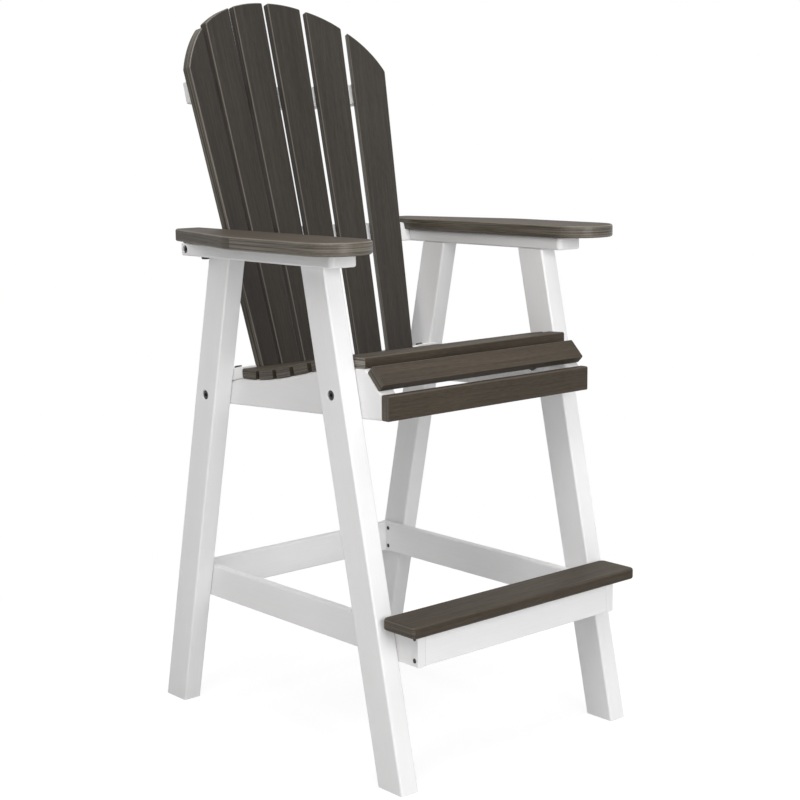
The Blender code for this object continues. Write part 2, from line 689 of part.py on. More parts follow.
def add_seat_bolts(side, sign):
    """Bolts through the legs into the seat rail, each with a nut on the rail's inner face."""
    nut_face = SEAT_RAIL_INNER_X - GAP
    length = LEG_OUTER_X - nut_face + NUT_HEIGHT + SEAT_BOLT_TAIL
    legs = {"front": (front_leg_middle, FRONT_BOLT_RISE), "rear": (rear_leg_middle, REAR_BOLT_RISE)}
    turns = [math.tau * corner / NUT_SIDES for corner in range(NUT_SIDES)]
    for end, (leg_middle, rise) in legs.items():
        y, z = seat_bolt_point(leg_middle, rise)
        hexagon = [(y + NUT_RADIUS * math.cos(turn), z + NUT_RADIUS * math.sin(turn)) for turn in turns]
        nut = f"seat_nut_{end}_{side}"
        add_piece(nut, prism(hexagon, "X", sign * nut_face, sign * (nut_face - NUT_HEIGHT)), DARK, Matrix())
        entry = sign * LEG_OUTER_X, y, z
        boards = f"{end}_leg_{side}", f"seat_rail_{side}", nut
        drive(f"seat_bolt_{end}_{side}", SEAT_BOLT, entry, Vector((-sign, 0, 0)), length, boards)


def add_arm_fasteners(side, sign):
    """Bolt through the arm rail into the middle brace's end, and a screw beside the leg up into the arm."""
    entry = sign * ARM_RAIL_OUTER_X, ARM_BOLT_Y, ARM_BOLT_Z
    length = ARM_RAIL_OUTER_X - MIDDLE_BRACE_STEP_X
    boards = f"arm_rail_{side}", "middle_back_brace"
    drive(f"arm_bolt_{side}", ARM_BOLT, entry, Vector((-sign, 0, 0)), length, boards)
    entry = sign * ARM_SCREW_X, ARM_SCREW_Y, ARM_RAIL_BOTTOM
    length = ARM_BOTTOM - ARM_RAIL_BOTTOM + ARM_SCREW_BITE
    boards = f"arm_rail_{side}", f"armrest_{side}"
    drive(f"arm_screw_{side}", WASHER_SCREW, entry, Vector((0, 0, 1)), length, boards)


def add_brace_screw(side, sign):
    """Screw down through a tab of the lower brace into the seat rail."""
    middle_x = (FRAME_OUTER_X + SEAT_RAIL_INNER_X) / 2
    y = TAB_FRONT + LOWER_BRACE_TAB_DEPTH / 2 + BRACE_SCREW_SHIFT
    top = GAP + LOWER_BRACE_HEIGHT
    entry = sign * middle_x, y, brace_height(y, top)
    boards = "lower_back_brace", f"seat_rail_{side}"
    drive(f"brace_screw_{side}", WASHER_SCREW, entry, -brace_plane(0)[0], top + SCREW_BITE, boards)


def add_stretcher_screws(side, sign):
    """Pairs of screws: side stretcher to front stretcher from outside, and to both legs from inside."""
    stretcher = f"side_stretcher_{side}"
    length = STRETCHER_THICK + GAP + SCREW_BITE
    outwards = Vector((sign, 0, 0))
    leg_places = {
        "front": front_leg_middle(STRETCHER_MID),
        "rear": REAR_STRETCHER_FRONT - REAR_LEG_SCREW_CLEARANCE - FLUSH_HEAD_RADIUS,
    }
    levels = {
        "upper": STRETCHER_TOP - FLUSH_SCREW_EDGE_DISTANCE,
        "lower": STRETCHER_BOTTOM + FLUSH_SCREW_EDGE_DISTANCE,
    }
    for level, z in levels.items():
        entry = sign * FRAME_OUTER_X, STRETCHER_FRONT + STRETCHER_THICK / 2, z
        boards = stretcher, "front_stretcher"
        drive(f"stretcher_screw_{level}_{side}", FLUSH_SCREW, entry, -outwards, length, boards)
        for end, y in leg_places.items():
            entry = sign * STRETCHER_INNER_X, y, z
            boards = stretcher, f"{end}_leg_{side}"
            drive(f"{end}_leg_screw_{level}_{side}", FLUSH_SCREW, entry, outwards, length, boards)


add_legs()
add_arms()
add_seat_rails()
add_seat_slats()
add_back_slats()
add_upper_brace()
add_middle_brace()
add_lower_brace()
add_stretchers()
add_footrest()
for side_name, side_sign in SIDES.items():
    add_seat_bolts(side_name, side_sign)
    add_arm_fasteners(side_name, side_sign)
    add_brace_screw(side_name, side_sign)
    add_stretcher_screws(side_name, side_sign)
for board_name, cutters in holes.items():
    cut_away(bpy.data.objects[board_name], cutters)
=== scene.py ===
"""Looks of a fan-back bar chair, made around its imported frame.

Metres, +Z up. The chair faces -Y and the sitter's left hand is at +X. Each board is shaped again
with finely rounded edges and carries the direction of its own grain. The bolts, nuts and screws
get their driven heads.
"""
import functools
import itertools
import json
import math
import operator

import bpy
from mathutils import Matrix, Vector


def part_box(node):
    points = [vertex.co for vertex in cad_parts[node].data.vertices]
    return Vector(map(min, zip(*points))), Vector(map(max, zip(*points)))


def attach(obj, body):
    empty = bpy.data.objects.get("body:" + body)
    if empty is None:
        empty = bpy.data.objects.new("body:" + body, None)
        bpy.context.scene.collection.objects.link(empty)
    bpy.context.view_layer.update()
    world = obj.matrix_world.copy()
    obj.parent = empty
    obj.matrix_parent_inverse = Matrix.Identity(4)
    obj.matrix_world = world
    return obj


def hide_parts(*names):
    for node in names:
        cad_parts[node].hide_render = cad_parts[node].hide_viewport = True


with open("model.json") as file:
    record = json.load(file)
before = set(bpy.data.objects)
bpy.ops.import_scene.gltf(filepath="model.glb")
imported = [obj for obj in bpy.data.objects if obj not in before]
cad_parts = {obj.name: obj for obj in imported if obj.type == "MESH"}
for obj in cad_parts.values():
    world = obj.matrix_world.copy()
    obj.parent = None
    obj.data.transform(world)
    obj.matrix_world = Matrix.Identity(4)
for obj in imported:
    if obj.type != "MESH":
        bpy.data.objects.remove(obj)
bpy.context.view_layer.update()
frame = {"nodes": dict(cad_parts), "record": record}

X, Y, Z = Vector((1, 0, 0)), Vector((0, 1, 0)), Vector((0, 0, 1))
SIDES = {"left": 1, "right": -1}
ENDS = {"front": 1, "rear": -1}
SCREW_ROWS = ("upper", "lower")

# Shaping: radii of the edges, steps of their rounding, angles and how near counts as touching
FRAME_EDGE = 0.004
SLAT_EDGE = 0.003
REAR_SLAT_EDGE = 0.005
FOOTREST_EDGE = 0.0045
SAWN_EDGE = 0.0006
EDGE_STEPS = 4
FINE_EDGE_STEPS = 2
CORNER_STEPS = 10
SHARP = math.radians(30)
SMOOTH = math.radians(50)
FLAT = math.radians(0.4)
FACES_DOWN = -0.99
TOUCH = 0.0001
MERGE = 0.00001

# Legs, arms and footrest
LEG_WIDTH = 0.067
LEG_LEAN = math.radians(12.1)
ARM_RAIL_CORNER = 0.010
ARM_REAR_WIDTH = 0.061
ARM_TAPER_LENGTH = 0.2795
ARM_TAPER_BLEND = 0.0198
ARM_FRONT_FLAT = 0.006
ARM_FRONT_STEPS = 24
ARM_REAR_CORNER = 0.010
FOOTREST_CORNER = 0.012

# Seat
SEAT_SLAT_COUNT = 7
LOWER_BRACE_SLOPE = math.radians(13.0)

# Back: a fan of flat slats on a hollow that is tighter at the bottom than at the top
BACK_FOOT = Vector((0, 0.20257, 0.749))
BACK_RECLINE = math.radians(14.7)
BACK_SLAT_COUNT = 6
BACK_SLAT_THICK = 0.019
BACK_HEIGHT = 0.748
BACK_DROP = 0.040
FAN_HEIGHT = 0.686
SLAT_LOWER_WIDTH = 0.0606
SLAT_UPPER_WIDTH = 0.0806
SLAT_LOWER_GAP = 0.0127
SLAT_UPPER_GAP = 0.0138
BACK_LOWER_RADIUS = 0.488
BACK_UPPER_RADIUS = 0.711
TOP_ARC_HEIGHT = 0.254
TOP_ARC_HALF_WIDTH = 0.2868
TOP_ARC_STEPS = 16
TOP_ARC_ROUNDS = 12

# Bolts, nuts and screws
HEAD_SIDES = 40
HEX_SIDES = 6
BOLT_HEAD_HEIGHT = 0.006
SEAT_BOLT_HEAD_RADIUS = 0.0095
SEAT_BOLT_RADIUS = 0.005
SEAT_BOLT_SINK = 0.002
ARM_BOLT_HEAD_RADIUS = 0.008
ARM_BOLT_RADIUS = 0.004
ARM_BOLT_SINK = 0.003
BOLT_EDGE = 0.0014
SOCKET_SHARE = 0.48
SOCKET_DEPTH = 0.0035
NUT_RADIUS = 0.0098
NUT_EDGE = 0.0008
NUT_COLLAR_SHARE = 0.3
NUT_COLLAR_RADIUS = 0.0078
FLUSH_HEAD_RADIUS = 0.0045
FLUSH_HEAD_HEIGHT = 0.003
FLUSH_RADIUS = 0.002
FLUSH_EDGE = 0.0006
WASHER_HEAD_RADIUS = 0.008
WASHER_HEAD_HEIGHT = 0.0042
WASHER_RADIUS = 0.0025
WASHER_EDGE = 0.0026
CROSS_SHARE = 0.62
CROSS_WIDTH_SHARE = 0.2
CROSS_DEPTH = 0.0014
RECESS_PLAY = 0.0003
RECESS_RIM = 0.0005

# Grain: its shift from board to board, and the tilts at which a face is an edge (worn and painted
# highlight), sawn or tapered
BOARD_SHIFT = Vector((0.31, 0.083, 0.057))
EDGE_TILT = 0.25
CUT_TILT = 0.6
ARM_TAPER_TILT = 0.05

# Shares: how pale the sawn faces are, how strongly the edges show wear and painted highlight, and how
# much of the darker, cooler painted-shade brown a board takes
ARM_PALENESS = 0.42
ARM_REAR_SHARE = 0.3
FOOTREST_PALENESS = 0.15
FOOTREST_EDGE_WEAR_AND_HIGHLIGHT = 0.15
SEAT_PALENESS = 0.25
SEAT_FRONT_PALENESS = 0.9
SEAT_EDGE_WEAR_AND_HIGHLIGHT = 0.35
# The inner back slats' sawn faces are kept darker than the outer ones': painted shade in the gaps
# between slats.
INNER_BACK_PALENESS_WITH_PAINTED_SHADE = 0.12
BACK_SIDE_PALENESS = 0.27
BACK_PAINTED_SHADE = 1.0


# Modelling helpers
def only(piece):
    """Makes a piece the one that is selected and active."""
    bpy.ops.object.select_all(action="DESELECT")
    piece.select_set(True)
    bpy.context.view_layer.objects.active = piece


def apply_place(piece, name):
    """Names a new piece and puts its place into its mesh."""
    piece.name = piece.data.name = name
    bpy.ops.object.transform_apply(location=True, rotation=True, scale=True)
    return piece


def add_object(name, data):
    """Adds an object that shows a mesh, a camera or a lamp."""
    made = bpy.data.objects.new(name, data)
    bpy.context.scene.collection.objects.link(made)
    return made


def add_block(name, low, high):
    """Starts a board as a block between two corners."""
    low, high = Vector(low), Vector(high)
    bpy.ops.object.select_all(action="DESELECT")
    bpy.ops.mesh.primitive_cube_add(size=1, location=(low + high) / 2, scale=high - low)
    return apply_place(bpy.context.object, name)


def add_rod(name, radius, depth, sides, place=Matrix()):
    """Starts a turned piece as a rod whose top is at its place and which runs down its Z axis."""
    bpy.ops.object.select_all(action="DESELECT")
    bpy.ops.mesh.primitive_cylinder_add(vertices=sides, radius=radius, depth=depth)
    rod = bpy.context.object
    rod.matrix_world = place @ Matrix.Translation((0, 0, -depth / 2))
    return apply_place(rod, name)


def pick(piece, kind, test):
    """Opens a piece for shaping, with the vertices, edges or faces selected that pass a test."""
    bpy.ops.object.mode_set(mode="EDIT")
    bpy.ops.mesh.select_mode(type=kind)
    bpy.ops.mesh.select_all(action="DESELECT")
    bpy.ops.object.mode_set(mode="OBJECT")
    mesh = piece.data
    for part in {"VERT": mesh.vertices, "EDGE": mesh.edges, "FACE": mesh.polygons}[kind]:
        part.select = test(part)
    bpy.ops.object.mode_set(mode="EDIT")


def move(piece, test, offset):
    """Moves the vertices that pass a test."""
    pick(piece, "VERT", test)
    bpy.ops.transform.translate(value=offset)
    bpy.ops.object.mode_set(mode="OBJECT")


def slice_across(piece, point, normal):
    """Adds a ring of edges where a plane crosses a piece."""
    pick(piece, "FACE", lambda face: True)
    bpy.ops.mesh.bisect(plane_co=point, plane_no=normal)
    bpy.ops.object.mode_set(mode="OBJECT")


def join_flats(piece):
    """Joins the faces that lie in one plane."""
    pick(piece, "FACE", lambda face: True)
    bpy.ops.mesh.dissolve_limited(angle_limit=FLAT)
    bpy.ops.object.mode_set(mode="OBJECT")


def round_edges(piece, test, radius, steps=EDGE_STEPS):
    """Rounds the edges whose two ends pass a test."""

    def chosen(edge):
        first, last = edge.vertices
        return test(piece.data.vertices[first].co, piece.data.vertices[last].co)

    pick(piece, "EDGE", chosen)
    bpy.ops.mesh.bevel(offset=radius, segments=steps, affect="EDGES")
    bpy.ops.object.mode_set(mode="OBJECT")


def round_uprights(piece, radius, steps, test=lambda foot: True):
    """Rounds the upright edges whose place in plan passes a test."""

    def upright(foot, head):
        return (foot - head).xy.length < TOUCH and test(foot)

    round_edges(piece, upright, radius, steps)


def round_along(piece, along, radius):
    """Rounds the edges that run along a board and only eases its sawn ends."""
    along = along.normalized()

    def runs_along(first, last):
        return abs((last - first).normalized().dot(along)) > 1 - TOUCH

    round_edges(piece, runs_along, radius)
    round_sharp(piece, SAWN_EDGE, FINE_EDGE_STEPS)


def round_sharp(piece, radius, steps=EDGE_STEPS):
    """Rounds every sharp edge."""
    pick(piece, "EDGE", lambda edge: False)
    bpy.ops.mesh.edges_select_sharp(sharpness=SHARP)
    bpy.ops.mesh.bevel(offset=radius, segments=steps, affect="EDGES")
    bpy.ops.object.mode_set(mode="OBJECT")


def combine(piece, other, operation):
    """Cuts a second body out of a piece or joins it on."""
    only(piece)
    modifier = piece.modifiers.new("combine", "BOOLEAN")
    modifier.operation = operation
    modifier.object = other
    bpy.ops.object.modifier_apply(modifier=modifier.name)
    bpy.data.meshes.remove(other.data)


def facing(direction, point):
    """Place with Z along a direction."""
    place = direction.to_track_quat("Z", "Y").to_matrix().to_4x4()
    place.translation = point
    return place


def drill(piece, mouth, outwards, radius, depth):
    """Sinks a round recess into a face and eases its rim."""
    place = facing(outwards, mouth + outwards * depth)
    combine(piece, add_rod("cutter", radius, 2 * depth, HEAD_SIDES, place), "DIFFERENCE")

    def on_rim(point):
        arm = point - mouth
        return abs(arm.dot(outwards)) < TOUCH and abs(arm.length - radius) < TOUCH

    round_edges(piece, lambda first, last: on_rim(first) and on_rim(last), RECESS_RIM, FINE_EDGE_STEPS)


def even_shading(piece):
    """Shades the rounded edges smooth and keeps the flats flat."""
    only(piece)
    bpy.ops.object.shade_smooth_by_angle(angle=SMOOTH)
    weights = piece.modifiers.new("even shading", "WEIGHTED_NORMAL")
    weights.keep_sharp = True
    bpy.ops.object.modifier_apply(modifier=weights.name)


def dress(piece, node, finish):
    """Gives a piece its finish and lets it stand for its CAD node."""
    even_shading(piece)
    piece.data.materials.clear()
    piece.data.materials.append(finish)
    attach(piece, "root")
    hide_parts(node)


# Measures taken from the CAD solids
def span(spots):
    """Low and high corner of the box around some points."""
    return [Vector(limit(values) for values in zip(*spots)) for limit in (min, max)]


def cad_spots(node):
    """Corners of a CAD solid."""
    return [vertex.co for vertex in frame["nodes"][node].data.vertices]


def head_point(node, outwards):
    """Middle of a CAD fastener's end that faces outwards."""
    spots = cad_spots(node)
    furthest = max(spot.dot(outwards) for spot in spots)
    low, high = span([spot for spot in spots if spot.dot(outwards) > furthest - TOUCH])
    return (low + high) / 2


def length_along(node, axis):
    """Length of a CAD fastener."""
    reaches = [spot.dot(axis) for spot in cad_spots(node)]
    return max(reaches) - min(reaches)


def board_axes(along, out, centre=(0, 0, 0)):
    """Frame of a board: X along its grain, Y across it, Z out of its main face."""
    along = along.normalized()
    place = Matrix((along, out.cross(along), out)).transposed().to_4x4()
    place.translation = centre
    return place


def measured_axes(node):
    """Frame and size of a CAD slat that lies across the chair, from its largest face."""
    faces = frame["nodes"][node].data.polygons
    out = max(faces, key=lambda face: face.area).normal.copy()
    if out.z - out.y < 0:
        out.negate()
    place = board_axes(X, out)
    low, high = span([place.inverted() @ spot for spot in cad_spots(node)])
    place.translation = place @ ((low + high) / 2)
    return place, high - low


# Boards
board_numbers = itertools.count()


def sawn_ends(out):
    return abs(out.x) > CUT_TILT


def sawn_all_round(out):
    return abs(out.z) < CUT_TILT


def sawn_arm(out):
    """The straight sides and the round front show their saw stripes more than the tapered rear."""
    return sawn_all_round(out) * (ARM_REAR_SHARE if out.x > ARM_TAPER_TILT else 1)


def finish_board(piece, node, place, finish, is_cut=sawn_ends, paleness=1.0, edge_wear_and_highlight=1.0, painted_shade=0.0):
    """Stores the grain's coordinates, the paleness of sawn faces, the edges' wear and painted
    highlight, and the board's painted shade.
    """
    mesh = piece.data
    into_board = place.inverted()
    shift = BOARD_SHIFT * next(board_numbers)
    grain = mesh.attributes.new("grain", "FLOAT_VECTOR", "POINT")
    for spot, vertex in zip(grain.data, mesh.vertices):
        spot.vector = into_board @ vertex.co + shift
    cut = mesh.attributes.new("cut", "FLOAT", "FACE")
    edge = mesh.attributes.new("edge", "FLOAT", "FACE")
    # A shade share of 1 picks the darker, cooler brown that is painted as shade; the back slats take
    # it.
    painted_shade_layer = mesh.attributes.new("painted_shade", "FLOAT", "FACE")
    for face in mesh.polygons:
        painted_shade_layer.data[face.index].value = painted_shade
        out = into_board.to_3x3() @ face.normal
        cut.data[face.index].value = paleness * is_cut(out)
        # Rounded edge faces get the edge colour: wear on white boards, wear and a painted highlight on
        # brown ones.
        tilt = 1 - max(abs(out.z), math.hypot(out.x, out.y))
        edge.data[face.index].value = edge_wear_and_highlight * min(tilt / EDGE_TILT, 1)
    dress(piece, node, finish)


def sink_head(board, fastener, outwards, head_radius, head_height, sink):
    """Drills the recess of a fastener whose head lies some way below a board's face."""
    mouth = head_point(fastener, outwards) + outwards * sink
    drill(board, mouth, outwards, head_radius + RECESS_PLAY, sink + head_height)


def add_legs():
    """Legs that lean towards each other, each with the recess of its seat bolt."""
    half = Vector((0, LEG_WIDTH / math.cos(LEG_LEAN) / 2, 0))
    feet = {mount["name"]: Vector(mount["pos_m"]) for mount in frame["record"]["mounts"]}
    for end, lean in ENDS.items():
        for side, sign in SIDES.items():
            node = f"{end}_leg_{side}"
            bolt = f"seat_bolt_{end}_{side}"
            low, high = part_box(node)
            foot = feet[f"foot_{end}_{side}"]
            start = Vector((low.x, foot.y, 0)) - half
            leg = add_block(f"{node}_board", start, Vector((high.x, foot.y, high.z)) + half)
            rise = Vector((0, lean * math.tan(LEG_LEAN) * high.z, 0))
            move(leg, lambda point: point.co.z > high.z - TOUCH, rise)
            round_along(leg, Z * high.z + rise, FRAME_EDGE)
            sink_head(leg, bolt, X * sign, SEAT_BOLT_HEAD_RADIUS, BOLT_HEAD_HEIGHT, SEAT_BOLT_SINK)
            finish_board(leg, node, board_axes(Z * high.z + rise, X * sign), WHITE)


def add_arm_rails():
    """Flat rails on the legs, each with the recess of its bolt in the outer edge."""
    for side, sign in SIDES.items():
        node = f"arm_rail_{side}"
        bolt = f"arm_bolt_{side}"
        low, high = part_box(node)
        rail = add_block(f"{node}_board", low, high)
        round_uprights(rail, ARM_RAIL_CORNER, CORNER_STEPS)
        round_sharp(rail, FRAME_EDGE)
        sink_head(rail, bolt, X * sign, ARM_BOLT_HEAD_RADIUS, BOLT_HEAD_HEIGHT, ARM_BOLT_SINK)
        finish_board(rail, node, board_axes(Y, Z), WHITE)


def add_armrests():
    """Paddle-shaped armrests: round at the front, tapered on the outer side towards the rear."""
    for side, sign in SIDES.items():
        node = f"armrest_{side}"
        low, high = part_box(node)
        width = high.x - low.x
        outer_x = high.x if sign > 0 else low.x
        taper_y = high.y - ARM_TAPER_LENGTH
        arm = add_block(f"{node}_board", low, high)
        slice_across(arm, (0, taper_y, 0), Y)

        def on_outer_rear(point):
            return abs(point.co.x - outer_x) < TOUCH and point.co.y > high.y - TOUCH

        move(arm, on_outer_rear, X * sign * (ARM_REAR_WIDTH - width))
        join_flats(arm)
        round_uprights(arm, ARM_REAR_CORNER, CORNER_STEPS, lambda foot: foot.y > high.y - TOUCH)
        round_uprights(arm, ARM_TAPER_BLEND, CORNER_STEPS, lambda foot: abs(foot.y - taper_y) < TOUCH)
        front_corner = (width - ARM_FRONT_FLAT) / 2
        round_uprights(arm, front_corner, ARM_FRONT_STEPS, lambda foot: foot.y < low.y + TOUCH)
        round_sharp(arm, FRAME_EDGE)
        finish_board(arm, node, board_axes(Y, Z), BROWN, sawn_arm, ARM_PALENESS)


def add_stretcher(node, along, out, recesses=()):
    """Square-cut board, with recesses for flush screws given as screw nodes and directions."""
    low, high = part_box(node)
    board = add_block(f"{node}_board", low, high)
    round_along(board, along, FRAME_EDGE)
    for screw, outwards in recesses:
        height = FLUSH_HEAD_HEIGHT + RECESS_PLAY
        sink_head(board, screw, outwards, FLUSH_HEAD_RADIUS, height, RECESS_PLAY)
    finish_board(board, node, board_axes(along, out), WHITE)


def add_stretchers():
    """Two side stretchers, and the front and rear stretchers between them."""
    for side, sign in SIDES.items():
        recesses = []
        for row in SCREW_ROWS:
            recesses.append((f"stretcher_screw_{row}_{side}", X * sign))
            recesses += [(f"{end}_leg_screw_{row}_{side}", -X * sign) for end in ENDS]
        add_stretcher(f"side_stretcher_{side}", Y, X * sign, recesses)
    for end in ENDS:
        add_stretcher(f"{end}_stretcher", X, -Y)


def add_footrest():
    """Footrest board with rounded corners."""
    low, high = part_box("footrest_board")
    board = add_block("footrest_board_top", low, high)
    round_uprights(board, FOOTREST_CORNER, CORNER_STEPS)
    round_sharp(board, FOOTREST_EDGE)
    place = board_axes(X, Z)
    finish_board(board, "footrest_board", place, BROWN, sawn_ends, FOOTREST_PALENESS, FOOTREST_EDGE_WEAR_AND_HIGHLIGHT)


def add_seat_slats():
    """Seat slats from the rear to the front, then the nose slat and the apron."""
    flat = [f"seat_slat_{number}" for number in range(1, SEAT_SLAT_COUNT + 1)]
    for node in flat + ["seat_nose_slat", "seat_apron"]:
        place, size = measured_axes(node)
        slat = add_block(f"{node}_board", -size / 2, size / 2)
        round_along(slat, X, REAR_SLAT_EDGE if node == flat[0] else SLAT_EDGE)
        slat.matrix_world = place
        apply_place(slat, slat.name)
        paleness = SEAT_FRONT_PALENESS if node == flat[-1] else SEAT_PALENESS
        finish_board(slat, node, place, BROWN, sawn_ends, paleness, SEAT_EDGE_WEAR_AND_HIGHLIGHT)


# Back slats
def fan_size(lower, upper, height):
    """A size that changes evenly up the back, from its lower to its upper value."""
    return lower + (upper - lower) * height / FAN_HEIGHT


def slat_edges(index, height):
    """Where a slat's two edges lie across the hollow, measured from the middle line."""
    width = fan_size(SLAT_LOWER_WIDTH, SLAT_UPPER_WIDTH, height)
    pitch = width + fan_size(SLAT_LOWER_GAP, SLAT_UPPER_GAP, height)
    centre = (index - (BACK_SLAT_COUNT - 1) / 2) * pitch
    return centre - width / 2, centre + width / 2


def hollow_point(across, height):
    """A point of the hollow front surface of the back."""
    bend = fan_size(1 / BACK_LOWER_RADIUS, 1 / BACK_UPPER_RADIUS, height)
    forward = (1 - math.cos(across * bend)) / bend
    up = Vector((0, math.sin(BACK_RECLINE), math.cos(BACK_RECLINE)))
    front = Vector((0, -math.cos(BACK_RECLINE), math.sin(BACK_RECLINE)))
    return BACK_FOOT + X * math.sin(across * bend) / bend + up * height + front * forward


def slat_axes(index):
    """Frame of a flat slat: X up it along the grain, Y across it, Z out of its front face."""
    foot = [hollow_point(edge, 0) for edge in slat_edges(index, 0)]
    head = [hollow_point(edge, FAN_HEIGHT) for edge in slat_edges(index, FAN_HEIGHT)]
    along = (head[0] + head[1] - foot[0] - foot[1]).normalized()
    across = head[0] - head[1] + foot[0] - foot[1]
    out = along.cross(across).normalized()
    return board_axes(along, out, (foot[0] + foot[1]) / 2)


def slat_top(index, share):
    """Height of the back's rounded top on a slat, at a share of the slat's width."""
    height = BACK_HEIGHT
    for _ in range(TOP_ARC_ROUNDS):
        first, last = slat_edges(index, height)
        reach = (first + (last - first) * share) / TOP_ARC_HALF_WIDTH
        height = BACK_HEIGHT - TOP_ARC_HEIGHT * (1 - math.sqrt(max(0, 1 - reach**2)))
    return height


def add_back_slats():
    """Slats cut from a block of one unit, whose columns are moved to the foot and the rounded top."""
    for index in range(BACK_SLAT_COUNT):
        node = f"back_slat_{index + 1}"
        place = slat_axes(index)
        slat = add_block(f"{node}_board", (0, 0, -BACK_SLAT_THICK), (1, 1, 0))
        for step in range(1, TOP_ARC_STEPS):
            slice_across(slat, (0, step / TOP_ARC_STEPS, 0), Y)
        for step in range(TOP_ARC_STEPS + 1):
            share = step / TOP_ARC_STEPS
            for row, height in ((0, -BACK_DROP), (1, slat_top(index, share))):
                first, last = slat_edges(index, height)
                goal = place.inverted() @ hollow_point(first + (last - first) * share, height)

                def at_corner(point):
                    return abs(point.co.x - row) < TOUCH and abs(point.co.y - share) < TOUCH

                move(slat, at_corner, (goal.x - row, goal.y - share, 0))
        pick(slat, "FACE", lambda face: True)
        bpy.ops.mesh.normals_make_consistent(inside=False)
        bpy.ops.object.mode_set(mode="OBJECT")
        join_flats(slat)
        round_sharp(slat, SLAT_EDGE)
        slat.matrix_world = place
        apply_place(slat, slat.name)
        # Inner slats get the darker sawn colour as painted shade in the gaps; the outer slats' sides
        # stay paler.
        is_outer = index in (0, BACK_SLAT_COUNT - 1)
        paleness = BACK_SIDE_PALENESS if is_outer else INNER_BACK_PALENESS_WITH_PAINTED_SHADE
        finish_board(slat, node, place, BROWN, sawn_all_round, paleness, painted_shade=BACK_PAINTED_SHADE)


def add_curved_boards():
    """Seat rails and back braces keep the outline of their CAD solids, merged and evenly shaded."""
    nodes = {f"seat_rail_{side}": (Y, X * sign) for side, sign in SIDES.items()}
    nodes |= {f"{level}_back_brace": (X, Z) for level in ("upper", "middle", "lower")}
    for node, (along, out) in nodes.items():
        board = add_object(f"{node}_board", frame["nodes"][node].data.copy())
        only(board)
        pick(board, "FACE", lambda face: True)
        bpy.ops.mesh.remove_doubles(threshold=MERGE)
        bpy.ops.mesh.dissolve_limited(angle_limit=FLAT)
        bpy.ops.object.mode_set(mode="OBJECT")
        finish_board(board, node, board_axes(along, out), WHITE)


# Hardware
def model_pin(name, head_radius, head_height, shank_radius, length, edge):
    """Head with its top at the origin and a plain shank below it."""
    pin = add_rod(name, head_radius, head_height, HEAD_SIDES)
    round_edges(pin, lambda first, last: min(first.z, last.z) > -TOUCH, edge)
    pick(pin, "FACE", lambda face: face.normal.z < FACES_DOWN)
    bpy.ops.mesh.inset(thickness=head_radius - shank_radius)
    bpy.ops.mesh.extrude_region_move(TRANSFORM_OT_translate={"value": (0, 0, head_height - length)})
    bpy.ops.object.mode_set(mode="OBJECT")
    return pin


def model_bolt(name, head_radius, shank_radius, length):
    """Button-head bolt with a six-sided socket."""
    bolt = model_pin(name, head_radius, BOLT_HEAD_HEIGHT, shank_radius, length, BOLT_EDGE)
    place = Matrix.Translation((0, 0, SOCKET_DEPTH))
    socket = add_rod("cutter", SOCKET_SHARE * head_radius, 2 * SOCKET_DEPTH, HEX_SIDES, place)
    combine(bolt, socket, "DIFFERENCE")
    return bolt


def model_screw(name, head_radius, head_height, shank_radius, length, edge):
    """Screw with a cross recess in its head."""
    screw = model_pin(name, head_radius, head_height, shank_radius, length, edge)
    reach = CROSS_SHARE * head_radius
    half = CROSS_WIDTH_SHARE * head_radius / 2
    for corner in (Vector((reach, half, CROSS_DEPTH)), Vector((half, reach, CROSS_DEPTH))):
        combine(screw, add_block("cutter", -corner, corner), "DIFFERENCE")
    return screw


def model_nut(name, height, bore_radius):
    """Lock nut along -Z from the origin, with a round collar on its outer end."""
    collar = NUT_COLLAR_SHARE * height
    nut = add_rod(name, NUT_RADIUS, height - collar, HEX_SIDES, Matrix.Translation((0, 0, -collar)))
    round_sharp(nut, NUT_EDGE, FINE_EDGE_STEPS)
    ring = add_rod("ring", NUT_COLLAR_RADIUS, height, HEAD_SIDES)
    round_sharp(ring, NUT_EDGE, FINE_EDGE_STEPS)
    combine(nut, ring, "UNION")
    bore = add_rod("cutter", bore_radius, 3 * height, HEAD_SIDES, Matrix.Translation((0, 0, height)))
    combine(nut, bore, "DIFFERENCE")
    return nut


def place_copies(master, places):
    """Puts a copy of a modelled fastener at each of its nodes, its head facing outwards."""
    for node, outwards in places.items():
        piece = add_object(f"{node}_steel", master.data.copy())
        only(piece)
        piece.matrix_world = facing(outwards, head_point(node, outwards))
        apply_place(piece, piece.name)
        dress(piece, node, STEEL)
    bpy.data.meshes.remove(master.data)


